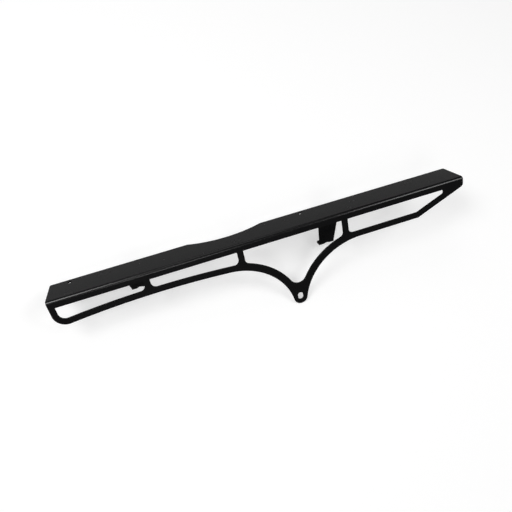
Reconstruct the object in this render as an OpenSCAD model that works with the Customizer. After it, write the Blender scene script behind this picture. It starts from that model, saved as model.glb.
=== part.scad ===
// Motorcycle chain guard: one folded steel sheet with a cut-out side, and two
// welded brackets whose feet bolt down inboard of it.
// X runs along the fold, towards the raked end. Y runs inboard, away from the
// outer face of the side plate. Z is up. The origin is the centre of the
// lug's bolt slot, on the outer face of the side plate.

/* [Sheet] */
// Thickness of the folded sheet
sheet = 2; // [1.5:0.25:3]
// Inside radius of the long fold
fold_r = 2; // [1:0.5:3]

/* [Top plate] */
// Length from the lug's slot to the square end
square_reach = 310; // [290:1:340]
// Length from the lug's slot to the raked end
raked_reach = 253; // [245:1:265]
// Width of the top plate, over the fold
top_w = 44.5; // [38:0.5:54]
// Height of the top face above the middle of the lug's slot
lug_drop = 104; // [100:0.5:112]
// Radius of the two inboard corners
top_corner_r = 2; // [1:0.5:6]
// Depth of the hollow that clears the tyre
hollow_depth = 11.5; // [6:0.5:16]
// Length of that hollow, measured along the edge
hollow_len = 102; // [80:1:130]
// Distance from the lug's slot to the middle of the hollow
hollow_back = 78; // [65:1:90]
// Diameter of the two round holes near the inboard edge
clip_hole_d = 5; // [4:0.5:8]
// Distance of those holes from the inboard edge
clip_hole_in = 7; // [6:0.5:9]
// Place of the hole near the raked side, from the lug's slot
clip_hole_a = 29; // [20:1:60]
// Place of the hole near the square end, from that end
clip_hole_b = 26; // [15:1:40]

/* [Side plate] */
// Height of the band between the top face and the windows
band_h = 10.5; // [8:0.5:14]
// Width of the lower rail
rail_w = 8.4; // [6:0.2:10]
// Width of the upright strip at the square end
end_w = 7.5; // [6:0.5:12]
// Width of the three webs
web_w = 8.4; // [6:0.2:12]
// Distance from the lug's slot back to the middle of the first web
web_a_back = 190; // [170:1:200]
// Distance from the lug's slot back to the middle of the second web
web_b_back = 68; // [64:1:74]
// Distance from the lug's slot forward to the middle of the third web
web_c_ahead = 77; // [74:1:84]
// Depth of the bowed rail's underside at its highest point
bow_depth = 31.8; // [29:0.2:34]
// Radius of the bowed rail's underside
bow_r = 1160; // [900:10:1600]
// Distance from the lug's slot back to the highest point of the bow
bow_back = 182; // [170:0.5:195]
// Depth of the straight rail's underside
flat_depth = 40.5; // [36:0.5:44]
// Distance from the lug's slot to where the rake starts
rake_start = 184; // [178:1:200]
// Slope of the raked end, in degrees
rake_angle = 21.8; // [18:0.2:23]
// Outer corner radius at the square end
square_corner_r = 16; // [9:0.5:18]
// Outer corner radius at the raked end
raked_corner_r = 5; // [2:0.5:7]
// Corner radius of the windows along the lower rail
window_r = 6.5; // [4:0.5:8]
// Corner radius of the windows along the band
window_top_r = 1.2; // [0.8:0.1:2]
// Radius of the pointed end of the raked window
window_tip_r = 3.25; // [1.5:0.25:4]

/* [Arms and lug] */
// Radius under the arm on the square side
arch_a_r = 84.4; // [78:0.2:90]
// Radius under the arm on the raked side
arch_b_r = 89.8; // [84:0.2:96]
// Width of both arms
arm_w = 10.6; // [9:0.2:12]
// Radius of the crotch between the two arms
crotch_r = 11.5; // [10:0.5:14]
// Radius of the lug's round end
lug_r = 9.7; // [8.5:0.1:12]
// How far below its slot the lug's round end is centred
lug_below = 2.3; // [0:0.1:4]
// Width of the lug's bolt slot
slot_w = 7.5; // [6.5:0.1:8.5]
// Length of the lug's bolt slot, end to end
slot_len = 11; // [9:0.5:12]

/* [Brackets] */
// Thickness of the brackets
bracket_t = 2; // [1.5:0.25:3]
// Inside radius of a bracket's fold
bracket_fold_r = 2; // [1:0.5:3]
// Width of each foot
foot_w = 22; // [16:0.5:26]
// Depth of each foot, over the fold
foot_d = 14; // [13:0.5:18]
// Corner radius of a foot
foot_corner_r = 2.5; // [1:0.5:4]
// Slope of a bracket's slanting edge, in degrees
taper_angle = 17; // [8:1:22]
// Lean of a bracket's other edge, the same way, in degrees
lean_angle = 4.5; // [0:0.5:6]
// Width of the bolt slot in a foot
foot_slot_w = 9.5; // [6:0.5:10]
// Sheet left between that slot and the foot's inboard edge
foot_slot_margin = 3; // [2.5:0.5:5]
// Depth of the long bracket, from the top face to under its foot
long_depth = 61.5; // [50:0.5:75]
// Distance from the lug's slot to the near side of the long bracket's foot
long_ahead = 52; // [48:0.5:62]
// Depth of the short bracket, from the top face to under its foot
short_depth = 41.5; // [34:0.5:50]
// Distance from the lug's slot back to the near side of the short bracket's foot
short_back = 194.5; // [180:0.5:210]
// Leg of the fillet weld under the top plate
weld_leg = 2.5; // [1.5:0.5:3.5]

/* [Hidden] */
$fn = 96;
// How far a cutting shape reaches past what it cuts
past = 1;
// Rounds reach this hair past the edges that they touch, so that the two cross cleanly
lap = 0.02;
fold_out = fold_r + sheet;
bracket_fold_out = bracket_fold_r + bracket_t;
x_square = -square_reach;
x_raked = raked_reach;
z_top = lug_drop;
z_band = z_top - band_h;
z_flat = z_top - flat_depth;
web_a = -web_a_back;
web_b = -web_b_back;
web_c = web_c_ahead;
bow_c = [-bow_back, z_top - bow_depth - bow_r];
lug_c = [0, -lug_below];
z_low = -lug_below - lug_r - past;
// Inner corner at the foot of the square end, about the same centre as the outer one
square_inner_r = max(square_corner_r - end_w, window_top_r);
// How far round a bracket's fold, in degrees, its slot's round end reaches
slot_turn = 70;
rake_foot = [rake_start, z_flat];
rake_in = [-sin(rake_angle), cos(rake_angle)];

// Where two circles cross, on the left of the line from the first to the second
function cross_left(a, ra, b, rb) =
    let (d = norm(b - a), u = (b - a) / d)
    let (along = (ra * ra - rb * rb + d * d) / (2 * d))
    a + along * u + sqrt(ra * ra - along * along) * [-u[1], u[0]];

// Point on a circle's upper side at a given x
function over_circle(c, r, x) = [x, c[1] + sqrt(r * r - pow(x - c[0], 2))];

// Point on the line from one point to another, at a distance from the first
function towards(a, b, distance) = a + (b - a) / norm(b - a) * distance;

// Point of the raked line, moved inwards, at a given x
function rake_at(inward, x) =
    let (p = rake_foot + inward * rake_in)
    [x, p[1] + (x - p[0]) * tan(rake_angle)];

// Point of the raked line, moved inwards, at a given height
function rake_level(inward, z) =
    let (p = rake_foot + inward * rake_in)
    [p[0] + (z - p[1]) / tan(rake_angle), z];

// The arch on the square side touches the bow from inside, and the lug's round end
arch_a = cross_left(bow_c, bow_r - arch_a_r + lap, lug_c, arch_a_r + lug_r - lap);
bow_meet = towards(bow_c, arch_a, bow_r);

// The arch on the raked side touches the straight rail and the lug's round end
arch_b_low = z_flat - arch_b_r + lap - lug_c[1];
arch_b = lug_c + [sqrt(pow(arch_b_r + lug_r - lap, 2) - pow(arch_b_low, 2)), arch_b_low];

// The crotch is a round that touches the inner edge of both arms
arm_a_r = arch_a_r + arm_w;
arm_b_r = arch_b_r + arm_w;
crotch_c = cross_left(arch_a, arm_a_r + crotch_r - lap, arch_b, arm_b_r + crotch_r - lap);
crotch_a = towards(arch_a, crotch_c, arm_a_r);
crotch_b = towards(arch_b, crotch_c, arm_b_r);

// Fills a corner between the two points where its round touches the edges
module corner_fill(corner, c, r, touch_a, touch_b) {
    difference() {
        polygon([corner, touch_a, c, touch_b]);
        translate(c) circle(r);
    }
}

// Fills the corner between an upright edge and a circle below it
module foot_of_upright(x, side, c, big_r, r) {
    reach = r - lap;
    centre = over_circle(c, big_r + reach, x + side * reach);
    touch = towards(c, centre, big_r);
    corner = over_circle(c, big_r, x) - [side, 1] * rail_w / 10;
    corner_fill(corner, centre, r, touch, [x, centre[1]]);
}

// What rounds off a square corner, whose edges run along +X and down
module square_corner_waste(r) {
    difference() {
        translate([-past, -r]) square([r + past, r + past]);
        translate([r - lap, lap - r]) circle(r);
    }
}

// Fills a square corner of a window, under the band
module band_corner(x, side) {
    translate([x, z_band]) mirror([side < 0 ? 1 : 0, 0]) square_corner_waste(window_top_r);
}

// Side view before its rounds, down past the lug
module side_blank() {
    x0 = x_square - past;
    x1 = x_raked + past;
    polygon([[x0, z_top + past], [x1, z_top + past], rake_at(0, x1), rake_foot, [arch_b[0], z_flat],
             [arch_b[0], z_low], [x0, z_low]]);
}

// Space under the bowed rail, up to where the arch on the square side takes over
module under_bow() {
    intersection() {
        translate(bow_c) circle(bow_r, $fn = 720);
        polygon([[x_square - 2 * past, z_top], towards(arch_a, bow_meet, arch_a_r + past),
                 arch_a - [0, arm_w], [x_square - 2 * past, arch_a[1] - arm_w]]);
    }
}

// What rounds off the lug, between the two arches
module lug_end() {
    difference() {
        polygon([arch_a, lug_c, arch_b, lug_c - [0, arch_b_r]]);
        translate(lug_c) circle(lug_r);
    }
}

// Rounded outer corner at the foot of the square end
module square_corner() {
    r = square_corner_r;
    c = over_circle(bow_c, bow_r + r - lap, x_square + r - lap);
    touch = towards(bow_c, c, bow_r);
    low = touch[1] - r;
    x0 = x_square - 2 * past;
    difference() {
        polygon([[x0, c[1]], c, touch, [touch[0], low], [x0, low]]);
        translate(c) circle(r);
    }
}

// Rounded outer corner at the raked end
module raked_corner() {
    r = raked_corner_r;
    c = rake_at(r - lap, x_raked - r + lap);
    touch = c - r * rake_in;
    difference() {
        polygon([[x_raked + 2 * past, c[1]], c, touch, rake_at(0, x_raked + 2 * past) - [0, past]]);
        translate(c) circle(r);
    }
}

module side_outline() {
    difference() {
        side_blank();
        under_bow();
        translate(arch_a) circle(arch_a_r, $fn = 360);
        translate(arch_b) circle(arch_b_r, $fn = 360);
        square_corner();
        raked_corner();
        lug_end();
    }
}

// Window between two upright edges, over the bowed rail, its first lower corner of radius r0
module bowed_window(x0, x1, r0) {
    inner_r = bow_r + rail_w;
    difference() {
        translate([x0, z_top - flat_depth]) square([x1 - x0, flat_depth - band_h]);
        translate(bow_c) circle(inner_r, $fn = 720);
        foot_of_upright(x0, 1, bow_c, inner_r, r0);
        foot_of_upright(x1, -1, bow_c, inner_r, window_r);
        band_corner(x0, 1);
        band_corner(x1, -1);
    }
}

// Window over the two arms, down to their crotch
module arms_window() {
    x0 = web_b + web_w / 2;
    x1 = web_c - web_w / 2;
    difference() {
        polygon([[x0, z_band], [x0, crotch_a[1]], crotch_a, crotch_c, crotch_b,
                 [x1, crotch_b[1]], [x1, z_band]]);
        translate(arch_a) circle(arm_a_r, $fn = 360);
        translate(arch_b) circle(arm_b_r, $fn = 360);
        foot_of_upright(x0, 1, arch_a, arm_a_r, window_r);
        foot_of_upright(x1, -1, arch_b, arm_b_r, window_r);
        band_corner(x0, 1);
        band_corner(x1, -1);
    }
    translate(crotch_c) circle(crotch_r);
}

// Window along the straight rail and the rake
module raked_window() {
    x0 = web_c + web_w / 2;
    z0 = z_flat + rail_w;
    knee = rake_level(rail_w, z0);
    tip = rake_level(rail_w, z_band);
    reach = window_r - lap;
    tip_reach = window_tip_r - lap;
    tip_c = rake_level(rail_w + tip_reach, z_band - tip_reach);
    difference() {
        polygon([[x0, z0], knee, tip, [x0, z_band]]);
        corner_fill([x0 - past, z0 - past], [x0 + reach, z0 + reach], window_r,
                    [x0 + reach, z0], [x0, z0 + reach]);
        corner_fill(tip + [3 * past, past / 2], tip_c, window_tip_r,
                    [tip_c[0], z_band], tip_c - tip_reach * rake_in);
        band_corner(x0, 1);
    }
}

module windows() {
    bowed_window(x_square + end_w, web_a - web_w / 2, square_inner_r);
    bowed_window(web_a + web_w / 2, web_b - web_w / 2, window_r);
    arms_window();
    raked_window();
}

// Long hole with round ends, its length along the second axis
module long_hole(w, len) {
    square([w, len - w], center = true);
    for (end = [-1, 1]) translate([0, end * (len - w) / 2]) circle(w / 2);
}

// Section of a sheet folded square: up from the fold and inboard from it
module folded_section(up, inboard, t, fold) {
    difference() {
        square([inboard, up]);
        mirror([0, 1]) square_corner_waste(fold + t);
        translate([t, t]) difference() {
            square([inboard, up]);
            mirror([0, 1]) square_corner_waste(fold);
        }
    }
}

// The guard's section, its top plate uppermost, along its whole length
module long_profile() {
    translate([x_square, 0, z_top]) rotate([90, 0, 90]) linear_extrude(x_raked - x_square)
        mirror([0, 1]) folded_section(z_top - z_low, top_w, sheet, fold_r);
}

module side_view() {
    translate([0, top_w + past, 0]) rotate([90, 0, 0]) linear_extrude(top_w + 2 * past) difference() {
        side_outline();
        windows();
        long_hole(slot_w, slot_len);
    }
}

// Inboard corner of the top plate, cut round
module top_corner_cut(x, side) {
    translate([x, top_w]) mirror([side < 0 ? 1 : 0, 0]) square_corner_waste(top_corner_r);
}

module hollow_cut() {
    r = (pow(hollow_len / 2, 2) + pow(hollow_depth, 2)) / (2 * hollow_depth);
    translate([-hollow_back, top_w - hollow_depth + r]) circle(r, $fn = 360);
}

module clip_hole(x) {
    translate([x, top_w - clip_hole_in]) circle(clip_hole_d / 2);
}

module top_cuts() {
    translate([0, 0, z_top - sheet - past]) linear_extrude(sheet + 2 * past) {
        top_corner_cut(x_square, 1);
        top_corner_cut(x_raked, -1);
        hollow_cut();
        clip_hole(clip_hole_a);
        clip_hole(x_square + clip_hole_b);
    }
}

module guard() {
    color("#1b1b1d") difference() {
        intersection() {
            long_profile();
            side_view();
        }
        top_cuts();
    }
}

// Where the two edges of a bracket's leg meet the underside of the top plate
function leg_near(depth) = (depth - bracket_fold_out - sheet) * tan(lean_angle);
function leg_far(depth) = foot_w + (depth - bracket_fold_out - sheet) * tan(taper_angle);

// A bracket's section: its leg under the edge of the top plate, its foot inboard
module bracket_profile(depth) {
    translate([-past, top_w - bracket_t, z_top - depth]) rotate([90, 0, 90])
        linear_extrude(leg_far(depth) + 2 * past)
        folded_section(depth, foot_d, bracket_t, bracket_fold_r);
}

// A bracket seen from outboard: its foot from x = 0 towards +X, its leg leaning over it
module bracket_view(depth) {
    foot_z = z_top - depth - past;
    low = z_top - depth + bracket_fold_out;
    high = z_top - sheet;
    inboard = top_w - bracket_t + foot_d + past;
    translate([0, inboard, 0]) rotate([90, 0, 0]) linear_extrude(foot_d + 2 * past)
        polygon([[0, foot_z], [foot_w, foot_z], [foot_w, low], [leg_far(depth), high],
                 [leg_near(depth), high], [0, low]]);
}

// Outboard end of a foot's slot: a half round cut at 45 degrees through the fold, whose rim
// lies slot_turn degrees round the outside of the fold
module slot_mouth() {
    r = foot_slot_w / 2;
    rim = bracket_fold_out * [1 - sin(slot_turn), 1 - cos(slot_turn)];
    translate([0, rim[0], rim[1]]) rotate([-45, 0, 0]) translate([0, r, -bracket_fold_out])
        linear_extrude(3 * bracket_fold_out) intersection() {
            circle(r);
            translate([-r - past, -r - past]) square([2 * (r + past), r + past]);
        }
}

// Cuts of a foot: its bolt slot, which runs on into the fold, and its two rounds
module foot_cuts(depth) {
    r = foot_slot_w / 2;
    end_y = foot_d - foot_slot_margin - r;
    mouth_y = bracket_fold_out * (cos(slot_turn) - sin(slot_turn)) + r * sqrt(2);
    start_y = min(mouth_y, end_y - lap);
    translate([0, top_w - bracket_t, z_top - depth]) {
        translate([foot_w / 2, 0, 0]) slot_mouth();
        translate([0, 0, -past]) linear_extrude(bracket_t + 2 * past) {
            translate([foot_w / 2 - r, start_y]) square([foot_slot_w, end_y - start_y]);
            translate([foot_w / 2, end_y]) circle(r);
            translate([0, foot_d]) square_corner_waste(foot_corner_r);
            translate([foot_w, foot_d]) mirror([1, 0]) square_corner_waste(foot_corner_r);
        }
    }
}

// Fillet weld between the leg's outboard face and the top plate
module weld(depth) {
    start = leg_near(depth) + weld_leg;
    y = top_w - bracket_t;
    z = z_top - sheet;
    in_leg = y + bracket_t / 2;
    translate([start, 0, 0]) rotate([90, 0, 90])
        linear_extrude(leg_far(depth) - start - 2 * weld_leg)
        polygon([[in_leg, z], [y - weld_leg, z], [y, z - weld_leg], [in_leg, z - weld_leg]]);
}

module bracket(depth) {
    difference() {
        intersection() {
            bracket_profile(depth);
            bracket_view(depth);
        }
        foot_cuts(depth);
    }
    weld(depth);
}

module long_bracket() {
    color("#2a2a2d") translate([long_ahead, 0, 0]) bracket(long_depth);
}

module short_bracket() {
    color("#2a2a2d") translate([-short_back, 0, 0]) mirror([1, 0, 0]) bracket(short_depth);
}

guard();
long_bracket();
short_bracket();
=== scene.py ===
# %% [markdown]
# A motorcycle's chain guard: one folded sheet with a cut-out side, and two welded brackets.
# It lies on a white table, on the tip of its lug and on its two feet, as it was photographed.
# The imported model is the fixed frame. This script gives it its finish, a table, lamps and a camera.
# Lengths are in metres, or in millimetres where a name says MM.

# %% Load the frame
import math

import bmesh
import bpy
import numpy as np
from mathutils import Matrix, Vector


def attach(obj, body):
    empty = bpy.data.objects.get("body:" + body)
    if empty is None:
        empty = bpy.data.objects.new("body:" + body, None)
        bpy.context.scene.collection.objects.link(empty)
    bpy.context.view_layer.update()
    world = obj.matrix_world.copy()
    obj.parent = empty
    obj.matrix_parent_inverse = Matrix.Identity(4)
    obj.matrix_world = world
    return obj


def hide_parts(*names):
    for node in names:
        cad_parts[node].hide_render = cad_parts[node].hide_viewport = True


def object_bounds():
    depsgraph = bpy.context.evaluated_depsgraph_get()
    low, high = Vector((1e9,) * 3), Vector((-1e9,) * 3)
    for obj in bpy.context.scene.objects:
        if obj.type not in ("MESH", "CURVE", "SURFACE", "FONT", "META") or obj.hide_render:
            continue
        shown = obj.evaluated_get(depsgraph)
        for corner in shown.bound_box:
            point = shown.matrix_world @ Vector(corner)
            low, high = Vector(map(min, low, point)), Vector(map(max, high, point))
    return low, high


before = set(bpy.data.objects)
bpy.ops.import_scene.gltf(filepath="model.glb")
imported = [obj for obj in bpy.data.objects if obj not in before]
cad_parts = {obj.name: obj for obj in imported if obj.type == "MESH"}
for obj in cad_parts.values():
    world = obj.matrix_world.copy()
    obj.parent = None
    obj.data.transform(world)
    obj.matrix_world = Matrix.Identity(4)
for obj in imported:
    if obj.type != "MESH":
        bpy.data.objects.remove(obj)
cad_box = [[float(v) for v in corner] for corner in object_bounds()]
print("nodes:", sorted(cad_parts))
print("box of the model, m:", cad_box)

# %% [markdown]
# Each node that a material needs is one line: the kind of node, its settings and its links.
# Colours are written as sRGB hex, as a paint chart has them, and turned linear in one place.
# Every new object is linked to the scene in the same way, so that too has a helper.

# %% Helpers for colours, nodes and objects
def linear(code):
    """sRGB hex to linear RGB: below 0.04045 the value over 12.92, else ((v + 0.055) / 1.055) ** 2.4."""
    v = np.array([int(code[i:i + 2], 16) for i in (1, 3, 5)]) / 255
    return tuple(np.where(v <= 0.04045, v / 12.92, ((v + 0.055) / 1.055) ** 2.4).tolist())


def add(tree, kind, settings=None, **inputs):
    """Adds a node. settings are its properties. An input is a value, or a socket to link.

    An input is named by its label, with _ for a space, or by i and its number.
    """
    node = tree.nodes.new(kind)
    for name, value in (settings or {}).items():
        setattr(node, name, value)
    for name, value in inputs.items():
        key = int(name[1:]) if name[0] == "i" and name[1:].isdigit() else name.replace("_", " ")
        if isinstance(value, bpy.types.NodeSocket):
            tree.links.new(value, node.inputs[key])
        else:
            node.inputs[key].default_value = value
    return node


def new_material(name):
    """An empty node material, its tree and its output node."""
    material = bpy.data.materials.new(name)
    material.use_nodes = True
    material.node_tree.nodes.clear()
    return material, material.node_tree, material.node_tree.nodes.new("ShaderNodeOutputMaterial")


def linked(name, data):
    """A new object that shows this data, unturned at the origin, linked to the scene."""
    thing = bpy.data.objects.new(name, data)
    bpy.context.scene.collection.objects.link(thing)
    return thing


# %% [markdown]
# The camera was solved from the part's own straight edges and circles in the photograph.
# Its eye point is on the model's axes. The view's own three axes are written out, so that they
# can be read: right, down and forward.

# %% Camera
EYE = Vector((-0.1293, -0.5118, 0.3584))
RIGHT = Vector((0.94661, -0.25523, -0.19694))
DOWN = Vector((-0.29202, -0.42002, -0.85925))
FORWARD = Vector((0.13659, 0.87088, -0.47213))
FOCAL_PX = 455
IMAGE_PX = 512
SENSOR_MM = 36
NEAREST_VIEW = 0.01


def add_camera():
    """A camera whose columns are right, up and back, at the eye point."""
    data = bpy.data.cameras.new("camera")
    data.sensor_width = SENSOR_MM
    data.lens = FOCAL_PX / IMAGE_PX * SENSOR_MM
    data.clip_start = NEAREST_VIEW
    camera = linked("camera", data)
    axes = Matrix((RIGHT, -DOWN, -FORWARD)).transposed().to_4x4()
    camera.matrix_world = Matrix.Translation(EYE) @ axes
    bpy.context.scene.camera = camera
    return camera


camera = add_camera()
print("lens, mm:", round(camera.data.lens, 2))

# %% [markdown]
# The guard is steel sheet with a black powder coat: a plastic skin between satin and gloss, baked on.
# To the eye it is near black, with thin lines of light that are slightly broken by orange peel.
# The coat is one material on all three pieces, since they were welded first and coated together.
# An image could carry the peel and the mottle. Noise on the model's own axes needs no unwrapping,
# and its scale is worked out from real millimetres.

# %% Powder coat
MM = 0.001
COAT = "#0b0b0c"
COAT_WORN = "#0f0f10"
COAT_ROUGHNESS = 0.26
ROUGHNESS_SPREAD = 0.04
COAT_SPECULAR = 0.4
PEEL_MM = 0.9
PEEL_DEPTH_MM = 0.012
PEEL_DETAIL = 2.0
MOTTLE_MM = 22
MOTTLE_DETAIL = 3.0


def powder_coat():
    """Black powder coat on steel: a dielectric skin with orange peel and a soft mottle."""
    material, tree, output = new_material("powder_coat")
    place = add(tree, "ShaderNodeTexCoord").outputs["Object"]
    mottle = add(tree, "ShaderNodeTexNoise", Vector=place, Scale=1 / (MOTTLE_MM * MM),
                 Detail=MOTTLE_DETAIL)
    colour = add(tree, "ShaderNodeMix", {"data_type": "RGBA"}, i0=mottle.outputs[0],
                 i6=(*linear(COAT), 1), i7=(*linear(COAT_WORN), 1))
    gloss = add(tree, "ShaderNodeMapRange", i0=mottle.outputs[0],
                i3=COAT_ROUGHNESS - ROUGHNESS_SPREAD, i4=COAT_ROUGHNESS + ROUGHNESS_SPREAD)
    peel = add(tree, "ShaderNodeTexNoise", Vector=place, Scale=1 / (PEEL_MM * MM),
               Detail=PEEL_DETAIL)
    bump = add(tree, "ShaderNodeBump", Height=peel.outputs[0], Distance=PEEL_DEPTH_MM * MM)
    coat = add(tree, "ShaderNodeBsdfPrincipled", Base_Color=colour.outputs[2],
               Roughness=gloss.outputs[0], Normal=bump.outputs[0],
               Specular_IOR_Level=COAT_SPECULAR)
    tree.links.new(coat.outputs[0], output.inputs[0])
    return material


coat = powder_coat()
print("material:", coat.name)

# %% [markdown]
# Laser-cut edges are tumbled before coating, and the coat flows over them, so none is sharp.
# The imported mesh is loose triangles, which can't be bevelled. So a copy of each node is merged,
# its flat triangles are joined into faces, and a Bevel modifier rounds every edge over 20 degrees.
# Where a slot's wall meets the fold, some edges are shorter than the rounding, and the modifier can
# throw a corner far out, so the rounding is applied and each such corner is put back.
# Weighted normals then keep the flats flat up to the fold, which stays one smooth turn.

# %% Coated sheet
MERGE_MM = 0.001
FLAT_ANGLE = 0.002
EDGE_ANGLE = math.radians(20)
EDGE_MM = 0.2
EDGE_STEPS = 2
STRAY_MM = 1.0


def corners(mesh):
    """A mesh's vertices, as rows of x, y and z."""
    points = np.empty(len(mesh.vertices) * 3)
    mesh.vertices.foreach_get("co", points)
    return points.reshape(-1, 3)


def joined_mesh(node, name):
    """A copy of a node's mesh: doubles merged, and triangles that lie in one plane joined.

    The plane may turn by the flat angle, in radians, from one triangle to the next.
    """
    work = bmesh.new()
    work.from_mesh(node.data)
    bmesh.ops.remove_doubles(work, verts=work.verts, dist=MERGE_MM * MM)
    bmesh.ops.dissolve_limit(work, angle_limit=FLAT_ANGLE, verts=work.verts, edges=work.edges)
    mesh = bpy.data.meshes.new(name)
    work.to_mesh(mesh)
    work.free()
    mesh.shade_smooth()
    return mesh


def rounded_mesh(piece):
    """The mesh that the Bevel modifier makes. A corner with no old corner near goes to the nearest one."""
    old = corners(piece.data)
    mesh = bpy.data.meshes.new_from_object(piece.evaluated_get(bpy.context.evaluated_depsgraph_get()))
    new = corners(mesh)
    gap = np.linalg.norm(new[:, None] - old[None], axis=2)
    stray = gap.min(axis=1) > STRAY_MM * MM
    new[stray] = old[gap[stray].argmin(axis=1)]
    mesh.vertices.foreach_set("co", new.ravel())
    mesh.update()
    print("corners put back:", piece.name, int(stray.sum()), "of", len(stray))
    return mesh


def coated_copy(node, name):
    """A piece that stands for a node, with its edges rounded by the coat."""
    piece = linked(name, joined_mesh(node, name))
    piece.data.materials.append(coat)
    rounded = piece.modifiers.new("rounded edges", "BEVEL")
    rounded.limit_method = "ANGLE"
    rounded.angle_limit = EDGE_ANGLE
    rounded.width = EDGE_MM * MM
    rounded.segments = EDGE_STEPS
    rounded.use_clamp_overlap = False
    piece.data = rounded_mesh(piece)
    piece.modifiers.remove(rounded)
    piece.modifiers.new("flat flats", "WEIGHTED_NORMAL")
    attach(piece, "root")
    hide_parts(node.name)
    return piece


for name in sorted(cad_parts):
    piece = coated_copy(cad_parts[name], name + "_coated")
    print("coated:", piece.name, len(piece.data.polygons), "faces")

# %% [markdown]
# Each bracket's leg is welded under the top plate, on its outboard side, before the coat goes on.
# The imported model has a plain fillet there. A real bead is a row of crescents, one for each
# pause of the torch. A bump could draw them, but they also show in the weld's outline, so this bead
# is a real surface: a quarter round whose radius steps like a saw along the weld.

# %% Weld beads
WELD_LEG_MM = 2.5
BEAD_CROWN_MM = 0.3
BEAD_END_MM = 1.8
RIPPLE_MM = 1.3
RIPPLE_DEPTH = 0.09
RIPPLE_BOW_MM = 0.9
BEAD_SINK_MM = 0.3
BEAD_STEP_MM = 0.16
BEAD_SIDES = 12
BEAD_TAPER = 0.97


def weld_line(node):
    """The weld's root line: its first and last x, its y, and its z.

    The fillet's free edge is the node's furthest outboard, so it gives x and, one leg inboard, y.
    The leg's top gives z.
    """
    points = corners(node.data)
    edge = points[points[:, 1] < points[:, 1].min() + MERGE_MM * MM]
    return edge[:, 0].min(), edge[:, 0].max(), edge[0, 1] + WELD_LEG_MM * MM, points[:, 2].max()


def bead_points(first, last, y, z):
    """Rows of points along a bead, each an arc from outboard to below, closed by a point in the metal.

    With s along the weld and a from 0 to 90 degrees across it, the radius is
    (leg + crown) sqrt(1 - e ** 2) (1 - depth saw), where e is 0 along the plain fillet and rises
    past its ends almost to 1, and saw is the fraction left of (s + bow sin 2a) / ripple, which
    bends each ripple to a crescent.
    """
    full = (WELD_LEG_MM + BEAD_CROWN_MM) * MM
    beyond = BEAD_END_MM * MM
    count = int((last - first + 2 * beyond) / (BEAD_STEP_MM * MM))
    along = np.linspace(first - beyond, last + beyond, count)[:, None]
    across = np.linspace(0, math.pi / 2, BEAD_SIDES)[None, :]
    end = np.clip(np.maximum(first - along, along - last) / beyond, 0, 1) * BEAD_TAPER
    saw = ((along - first + RIPPLE_BOW_MM * MM * np.sin(2 * across)) / (RIPPLE_MM * MM)) % 1
    radius = full * np.sqrt(1 - end ** 2) * (1 - RIPPLE_DEPTH * saw)
    arc = np.stack([along + 0 * across, y - radius * np.cos(across), z - radius * np.sin(across)], axis=2)
    sunk = BEAD_SINK_MM * MM
    inside = np.concatenate([along, 0 * along + y + sunk, 0 * along + z + sunk], axis=1)
    return np.concatenate([arc, inside[:, None, :]], axis=1)


def skin(rows):
    """Faces of a tube: four corners between neighbouring rows, and one face over each end."""
    length, around = rows.shape[:2]
    index = np.arange(length * around).reshape(length, around)
    beside = np.roll(index, -1, axis=1)
    sides = np.stack([index[:-1], index[1:], beside[1:], beside[:-1]], axis=2).reshape(-1, 4)
    return sides.tolist() + [index[0].tolist(), index[-1, ::-1].tolist()]


def weld_bead(node, name):
    """A closed bead over the fillet of a bracket, coated with it."""
    rows = bead_points(*weld_line(node))
    mesh = bpy.data.meshes.new(name)
    mesh.from_pydata(rows.reshape(-1, 3).tolist(), [], skin(rows))
    work = bmesh.new()
    work.from_mesh(mesh)
    bmesh.ops.recalc_face_normals(work, faces=work.faces)
    work.to_mesh(mesh)
    work.free()
    mesh.shade_smooth()
    mesh.materials.append(coat)
    piece = linked(name, mesh)
    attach(piece, "root")
    return piece


for name in ("long_bracket", "short_bracket"):
    bead = weld_bead(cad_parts[name], name + "_weld")
    print("bead:", bead.name, len(bead.data.polygons), "faces")

# %% [markdown]
# The guard can't stand. In the photograph it leans back on a white table, on its lug and two feet.
# The table is the plane through those three points, which are worked out from the model's lowest
# corners. From behind it lets the view through.
# A photographer sets a white table so bright that it drops out. Here the camera's own rays see a
# glow on top of the laminate, which keeps its shadows, and the coat mirrors a greyer table.

# %% Table
TABLE_SIZE = 6.0
TABLE_WHITE = "#c4c4c4"
TABLE_IN_REFLECTIONS = "#9b9b9b"
TABLE_GLOW = 0.56


def resting_point(node):
    """Where a node rests: its lowest corners' middle along x, at their inboard edge."""
    points = corners(node.data)
    lowest = points[points[:, 2] < points[:, 2].min() + MERGE_MM * MM]
    return Vector(((lowest[:, 0].min() + lowest[:, 0].max()) / 2, lowest[:, 1].max(), lowest[0, 2]))


lug_tip = resting_point(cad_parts["guard"])
long_foot = resting_point(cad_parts["long_bracket"])
short_foot = resting_point(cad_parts["short_bracket"])
print("rests on, m:", [[round(v, 4) for v in point] for point in (lug_tip, long_foot, short_foot)])


def table_axes():
    """Unit axes of the table: the view's right along it, the view's up along it, and its normal."""
    normal = (short_foot - lug_tip).cross(long_foot - lug_tip).normalized()
    if normal.dot(FORWARD) > 0:
        normal.negate()
    right = (RIGHT - normal * RIGHT.dot(normal)).normalized()
    return right, normal.cross(right), normal


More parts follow.
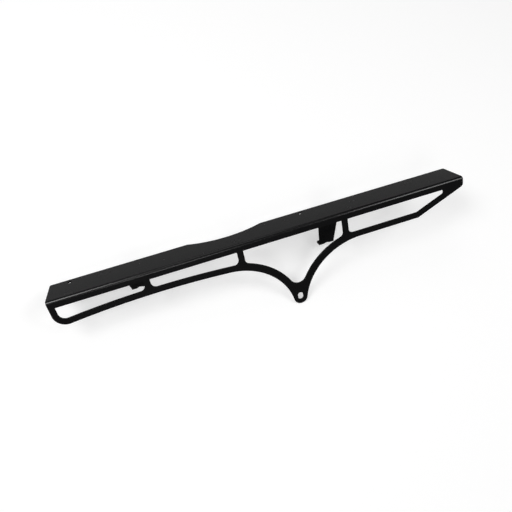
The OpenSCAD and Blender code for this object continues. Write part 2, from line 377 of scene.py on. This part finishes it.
def table_coat():
    """White laminate, seen from its upper side only."""
    material, tree, output = new_material("table")
    seen = add(tree, "ShaderNodeLightPath").outputs["Is Camera Ray"]
    colour = add(tree, "ShaderNodeMix", {"data_type": "RGBA"}, i0=seen,
                 i6=(*linear(TABLE_IN_REFLECTIONS), 1), i7=(*linear(TABLE_WHITE), 1))
    white = add(tree, "ShaderNodeBsdfDiffuse", Color=colour.outputs[2])
    level = add(tree, "ShaderNodeMath", {"operation": "MULTIPLY"}, i0=seen, i1=TABLE_GLOW)
    glow = add(tree, "ShaderNodeEmission", Color=(1, 1, 1, 1), Strength=level.outputs[0])
    lit = add(tree, "ShaderNodeAddShader", i0=white.outputs[0], i1=glow.outputs[0])
    clear = add(tree, "ShaderNodeBsdfTransparent")
    side = add(tree, "ShaderNodeNewGeometry").outputs["Backfacing"]
    mix = add(tree, "ShaderNodeMixShader", i0=side, i1=lit.outputs[0], i2=clear.outputs[0])
    tree.links.new(mix.outputs[0], output.inputs[0])
    return material


def add_table():
    """A square plane through the lug's tip."""
    right, up = table_axes()[:2]
    ways = ((-1, -1), (1, -1), (1, 1), (-1, 1))
    square = [lug_tip + (right * a + up * b) * (TABLE_SIZE / 2) for a, b in ways]
    mesh = bpy.data.meshes.new("table")
    mesh.from_pydata(square, [], [(0, 1, 2, 3)])
    mesh.materials.append(table_coat())
    table = linked("table", mesh)
    return table


table = add_table()
print("table's normal:", [round(v, 4) for v in table_axes()[2]])

# %% [markdown]
# The studio is a white room to the camera, and a dim one to the guard. A coat this smooth shows
# lamps as lines on its folds: the boxes at the sides lie where the two ends of the long fold mirror
# them, so its middle stays dark. A weak box in front lights the side, and one behind the top edge.
# Each box has its lean and turn in degrees, its size in metres and its share of the table's light.

# %% Room and soft boxes
ROOM_LIGHT = 0.07
LAMP_DISTANCE = 1.6
LAMPS = {
    "front_box": (42, 275, 0.5, 0.12),
    "left_box": (33, 178, 0.6, 0.38),
    "right_box": (34, 6, 0.6, 0.25),
    "back_box": (50, 110, 0.8, 0.06),
}


def light_room():
    """White to the camera's own rays, and a dim grey light for everything else."""
    world = bpy.data.worlds.new("room")
    bpy.context.scene.world = world
    world.use_nodes = True
    tree = world.node_tree
    tree.nodes.clear()
    dim = add(tree, "ShaderNodeBackground", Strength=ROOM_LIGHT, Color=(1, 1, 1, 1))
    white = add(tree, "ShaderNodeBackground", Strength=1.0, Color=(1, 1, 1, 1))
    seen = add(tree, "ShaderNodeLightPath").outputs["Is Camera Ray"]
    mix = add(tree, "ShaderNodeMixShader", i0=seen, i1=dim.outputs[0], i2=white.outputs[0])
    output = tree.nodes.new("ShaderNodeOutputWorld")
    tree.links.new(mix.outputs[0], output.inputs[0])


def add_lamp(name, lean, turn, size, share):
    """A soft box, lean degrees off the table's normal, turned anticlockwise from the view's right.

    A lamp of P watts at distance d lights a white table to P cos(lean) / (pi d) ** 2, its share.
    """
    right, up, normal = table_axes()
    lean, turn = math.radians(lean), math.radians(turn)
    way = normal * math.cos(lean) + (right * math.cos(turn) + up * math.sin(turn)) * math.sin(lean)
    data = bpy.data.lights.new(name, "AREA")
    data.size = size
    data.energy = share * (math.pi * LAMP_DISTANCE) ** 2 / math.cos(lean)
    lamp = linked(name, data)
    middle = sum((Vector(corner) for corner in cad_box), Vector()) / 2
    turned = way.to_track_quat("Z", "Y").to_matrix().to_4x4()
    lamp.matrix_world = Matrix.Translation(middle + way * LAMP_DISTANCE) @ turned
    lamp.visible_camera = False
    return lamp


light_room()
lamps = [add_lamp(name, *values) for name, values in LAMPS.items()]
print("soft boxes:", len(lamps))

# %% [markdown]
# Colours are shown as they are written: the Standard view, and nothing else changed.

# %% Finish
bpy.context.scene.view_settings.view_transform = "Standard"
